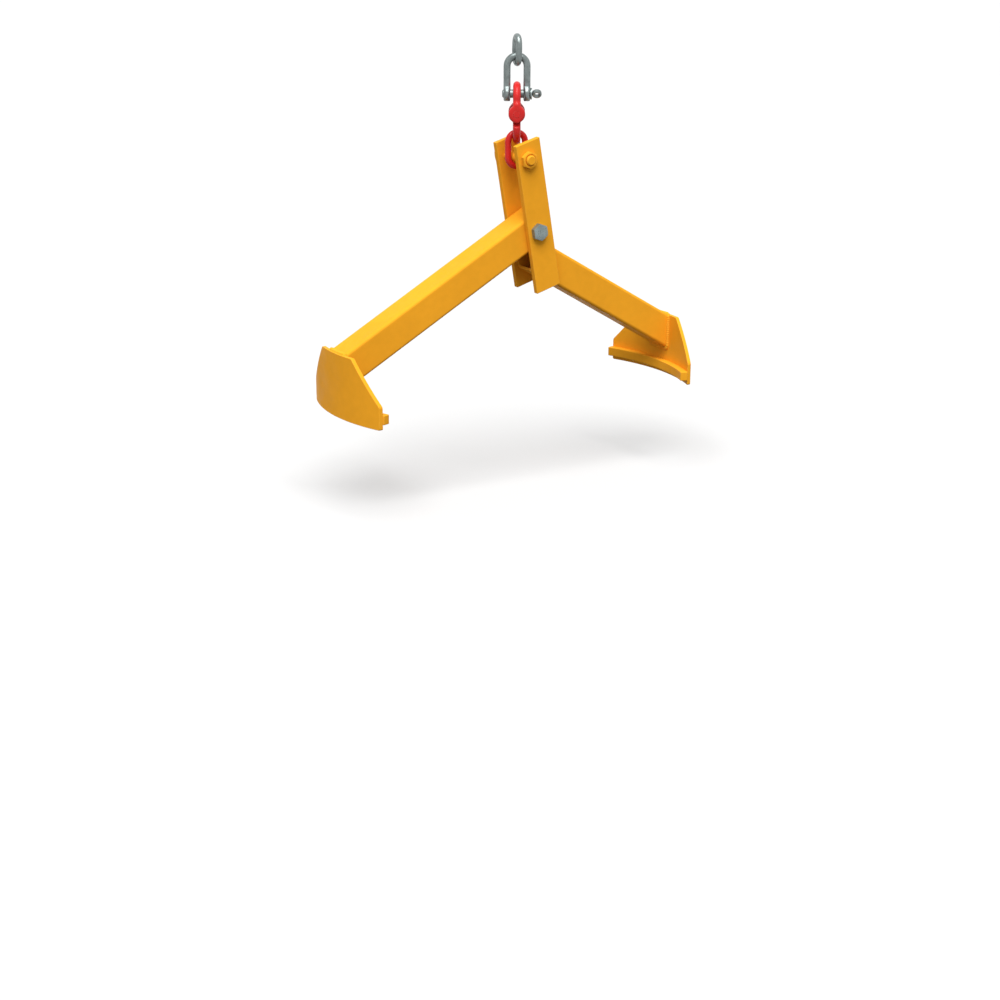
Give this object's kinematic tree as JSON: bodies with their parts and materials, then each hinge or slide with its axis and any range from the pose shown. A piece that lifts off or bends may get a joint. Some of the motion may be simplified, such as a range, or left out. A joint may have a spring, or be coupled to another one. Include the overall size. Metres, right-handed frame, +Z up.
{
  "type": "drum lifter",
  "caption": "Self-gripping drum lifter: crossed box-section arms on a pivot, curved shoes with jaws that hook under a drum's rim, hung from a shackle and chain coupling.",
  "frame": {"origin": "point inside the crown of the top chain link where a crane hook bears", "axes": "+Z up, +X along the arms towards the fixed arm, +Y along the pivot bolt away from its head"},
  "size_m": [0.6179, 0.2232, 0.5676],
  "materials": {
    "yellow_paint": "gloss orange-yellow paint over welded steel",
    "red_paint": "red paint on forged steel",
    "galvanised": "hot-dip galvanised",
    "zinc_plate": "bright zinc plated",
    "bare_steel": "plain turned steel"
  },
  "bodies": {
    "suspension": {"top_link": "galvanised"},
    "shackle": {"shackle_bow": "galvanised", "shackle_pin": "galvanised"},
    "upper_coupling": {"coupling_upper_half": "red_paint", "coupling_load_pin": "red_paint", "coupling_bush": "bare_steel"},
    "lower_coupling": {"coupling_lower_half": "red_paint"},
    "short_link": {"hoist_link": "red_paint"},
    "head": {"front_cheek": "yellow_paint", "rear_cheek": "yellow_paint", "top_bolt": "yellow_paint", "top_washer": "yellow_paint", "top_nut": "yellow_paint", "pivot_bolt": "zinc_plate", "pivot_washer": "zinc_plate", "pivot_nut": "zinc_plate", "fixed_arm_tube": "yellow_paint", "fixed_shoe": "yellow_paint", "fixed_jaw": "yellow_paint"},
    "swing_arm": {"swing_arm_tube": "yellow_paint", "pivot_sleeve": "bare_steel", "swing_shoe": "yellow_paint", "swing_jaw": "yellow_paint"}
  },
  "joints": [
    {"name": "shackle_swing", "type": "hinge", "parent": "suspension", "child": "shackle", "pos_m": [0, 0, -0.035], "axis": [0.3256, 0.9455, 0], "range_deg": [-35, 35]},
    {"name": "coupling_swing", "type": "hinge", "parent": "shackle", "child": "upper_coupling", "pos_m": [0, 0, -0.0816], "axis": [0.8572, -0.515, 0], "range_deg": [-60, 60]},
    {"name": "coupling_fold", "type": "hinge", "parent": "upper_coupling", "child": "lower_coupling", "pos_m": [0, 0, -0.1107], "axis": [0.515, 0.8572, 0], "range_deg": [-30, 30]},
    {"name": "link_swing", "type": "hinge", "parent": "lower_coupling", "child": "short_link", "pos_m": [0, 0, -0.1527], "axis": [0.515, 0.8572, 0], "range_deg": [-25, 25]},
    {"name": "head_swing", "type": "hinge", "parent": "short_link", "child": "head", "pos_m": [0, 0, -0.1799], "axis": [0, 1, 0], "range_deg": [-45, 45]},
    {"name": "arm_pivot", "type": "hinge", "parent": "head", "child": "swing_arm", "pos_m": [0.02006, 0, -0.29364], "axis": [0, 1, 0], "range_deg": [-6, 20]}
  ]
}
